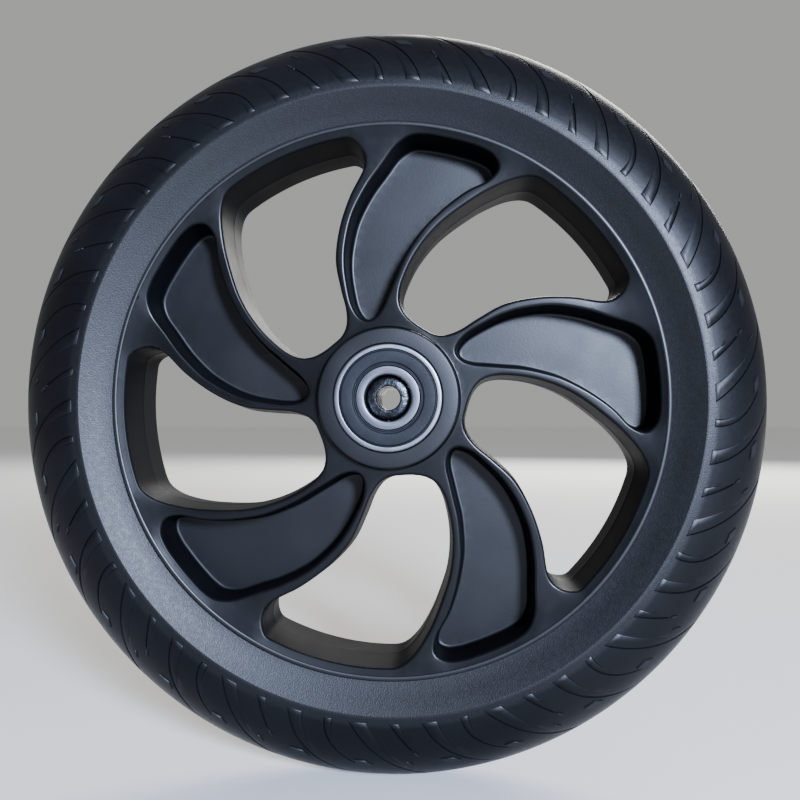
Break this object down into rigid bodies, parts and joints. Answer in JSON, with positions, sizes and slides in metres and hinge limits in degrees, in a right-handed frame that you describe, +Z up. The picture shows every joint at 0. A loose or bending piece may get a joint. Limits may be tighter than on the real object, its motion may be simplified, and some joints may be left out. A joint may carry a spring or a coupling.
{
  "type": "scooter wheel",
  "caption": "Wheel of a kick scooter: airless rubber tyre on a moulded rim with curved pocketed spokes, turning on two sealed ball bearings round a steel sleeve.",
  "frame": {"origin": "centre of the wheel, on the axle axis and midway between its two faces", "axes": "+Y along the axle towards the rear face, +Z up; the front face, the one in the picture, looks along -Y"},
  "size_m": [0.2, 0.0294, 0.2],
  "materials": {
    "tyre": "matt, grained side band and smooth tread",
    "rim": "black glass-filled nylon, satin, lightly grained",
    "bearing_ring": "ground bearing steel",
    "ball": "polished",
    "seal": "moulded nitrile rubber, satin",
    "cage": "natural nylon",
    "sleeve": "turned steel, darkened"
  },
  "bodies": {
    "axle": {"axle_sleeve": "sleeve", "bearing_spacer": "sleeve", "front_inner_ring": "bearing_ring", "rear_inner_ring": "bearing_ring"},
    "wheel": {"tyre": "tyre", "rim": "rim", "front_outer_ring": "bearing_ring", "front_outer_seal": "seal", "front_inner_seal": "seal", "rear_outer_ring": "bearing_ring", "rear_outer_seal": "seal", "rear_inner_seal": "seal"},
    "front_cage": {"front_cage": "cage"},
    "front_ball_1": {"front_ball_1": "ball"},
    "front_ball_2": {"front_ball_2": "ball"},
    "front_ball_3": {"front_ball_3": "ball"},
    "front_ball_4": {"front_ball_4": "ball"},
    "front_ball_5": {"front_ball_5": "ball"},
    "front_ball_6": {"front_ball_6": "ball"},
    "front_ball_7": {"front_ball_7": "ball"},
    "front_ball_8": {"front_ball_8": "ball"},
    "rear_cage": {"rear_cage": "cage"},
    "rear_ball_1": {"rear_ball_1": "ball"},
    "rear_ball_2": {"rear_ball_2": "ball"},
    "rear_ball_3": {"rear_ball_3": "ball"},
    "rear_ball_4": {"rear_ball_4": "ball"},
    "rear_ball_5": {"rear_ball_5": "ball"},
    "rear_ball_6": {"rear_ball_6": "ball"},
    "rear_ball_7": {"rear_ball_7": "ball"},
    "rear_ball_8": {"rear_ball_8": "ball"}
  },
  "joints": [
    {"name": "wheel_spin", "type": "hinge", "parent": "axle", "child": "wheel", "pos_m": [0, 0, 0], "axis": [0, 1, 0], "continuous": true},
    {"name": "front_cage_spin", "type": "hinge", "parent": "axle", "child": "front_cage", "pos_m": [0, -0.0096, 0], "axis": [0, 1, 0], "continuous": true},
    {"name": "front_ball_1_roll", "type": "hinge", "parent": "front_cage", "child": "front_ball_1", "pos_m": [0.01, -0.0096, 0], "axis": [0, 1, 0], "continuous": true},
    {"name": "front_ball_2_roll", "type": "hinge", "parent": "front_cage", "child": "front_ball_2", "pos_m": [0.00707, -0.0096, 0.00707], "axis": [0, 1, 0], "continuous": true},
    {"name": "front_ball_3_roll", "type": "hinge", "parent": "front_cage", "child": "front_ball_3", "pos_m": [0, -0.0096, 0.01], "axis": [0, 1, 0], "continuous": true},
    {"name": "front_ball_4_roll", "type": "hinge", "parent": "front_cage", "child": "front_ball_4", "pos_m": [-0.00707, -0.0096, 0.00707], "axis": [0, 1, 0], "continuous": true},
    {"name": "front_ball_5_roll", "type": "hinge", "parent": "front_cage", "child": "front_ball_5", "pos_m": [-0.01, -0.0096, 0], "axis": [0, 1, 0], "continuous": true},
    {"name": "front_ball_6_roll", "type": "hinge", "parent": "front_cage", "child": "front_ball_6", "pos_m": [-0.00707, -0.0096, -0.00707], "axis": [0, 1, 0], "continuous": true},
    {"name": "front_ball_7_roll", "type": "hinge", "parent": "front_cage", "child": "front_ball_7", "pos_m": [0, -0.0096, -0.01], "axis": [0, 1, 0], "continuous": true},
    {"name": "front_ball_8_roll", "type": "hinge", "parent": "front_cage", "child": "front_ball_8", "pos_m": [0.00707, -0.0096, -0.00707], "axis": [0, 1, 0], "continuous": true},
    {"name": "rear_cage_spin", "type": "hinge", "parent": "axle", "child": "rear_cage", "pos_m": [0, 0.0096, 0], "axis": [0, 1, 0], "continuous": true},
    {"name": "rear_ball_1_roll", "type": "hinge", "parent": "rear_cage", "child": "rear_ball_1", "pos_m": [0.01, 0.0096, 0], "axis": [0, 1, 0], "continuous": true},
    {"name": "rear_ball_2_roll", "type": "hinge", "parent": "rear_cage", "child": "rear_ball_2", "pos_m": [0.00707, 0.0096, 0.00707], "axis": [0, 1, 0], "continuous": true},
    {"name": "rear_ball_3_roll", "type": "hinge", "parent": "rear_cage", "child": "rear_ball_3", "pos_m": [0, 0.0096, 0.01], "axis": [0, 1, 0], "continuous": true},
    {"name": "rear_ball_4_roll", "type": "hinge", "parent": "rear_cage", "child": "rear_ball_4", "pos_m": [-0.00707, 0.0096, 0.00707], "axis": [0, 1, 0], "continuous": true},
    {"name": "rear_ball_5_roll", "type": "hinge", "parent": "rear_cage", "child": "rear_ball_5", "pos_m": [-0.01, 0.0096, 0], "axis": [0, 1, 0], "continuous": true},
    {"name": "rear_ball_6_roll", "type": "hinge", "parent": "rear_cage", "child": "rear_ball_6", "pos_m": [-0.00707, 0.0096, -0.00707], "axis": [0, 1, 0], "continuous": true},
    {"name": "rear_ball_7_roll", "type": "hinge", "parent": "rear_cage", "child": "rear_ball_7", "pos_m": [0, 0.0096, -0.01], "axis": [0, 1, 0], "continuous": true},
    {"name": "rear_ball_8_roll", "type": "hinge", "parent": "rear_cage", "child": "rear_ball_8", "pos_m": [0.00707, 0.0096, -0.00707], "axis": [0, 1, 0], "continuous": true}
  ],
  "couplings": [
    {"joint": "front_cage_spin", "follows": "wheel_spin", "ratio": 0.61905},
    {"joint": "front_ball_1_roll", "follows": "wheel_spin", "ratio": 1.9809},
    {"joint": "front_ball_2_roll", "follows": "wheel_spin", "ratio": 1.9809},
    {"joint": "front_ball_3_roll", "follows": "wheel_spin", "ratio": 1.9809},
    {"joint": "front_ball_4_roll", "follows": "wheel_spin", "ratio": 1.9809},
    {"joint": "front_ball_5_roll", "follows": "wheel_spin", "ratio": 1.9809},
    {"joint": "front_ball_6_roll", "follows": "wheel_spin", "ratio": 1.9809},
    {"joint": "front_ball_7_roll", "follows": "wheel_spin", "ratio": 1.9809},
    {"joint": "front_ball_8_roll", "follows": "wheel_spin", "ratio": 1.9809},
    {"joint": "rear_cage_spin", "follows": "wheel_spin", "ratio": 0.61905},
    {"joint": "rear_ball_1_roll", "follows": "wheel_spin", "ratio": 1.9809},
    {"joint": "rear_ball_2_roll", "follows": "wheel_spin", "ratio": 1.9809},
    {"joint": "rear_ball_3_roll", "follows": "wheel_spin", "ratio": 1.9809},
    {"joint": "rear_ball_4_roll", "follows": "wheel_spin", "ratio": 1.9809},
    {"joint": "rear_ball_5_roll", "follows": "wheel_spin", "ratio": 1.9809},
    {"joint": "rear_ball_6_roll", "follows": "wheel_spin", "ratio": 1.9809},
    {"joint": "rear_ball_7_roll", "follows": "wheel_spin", "ratio": 1.9809},
    {"joint": "rear_ball_8_roll", "follows": "wheel_spin", "ratio": 1.9809}
  ]
}
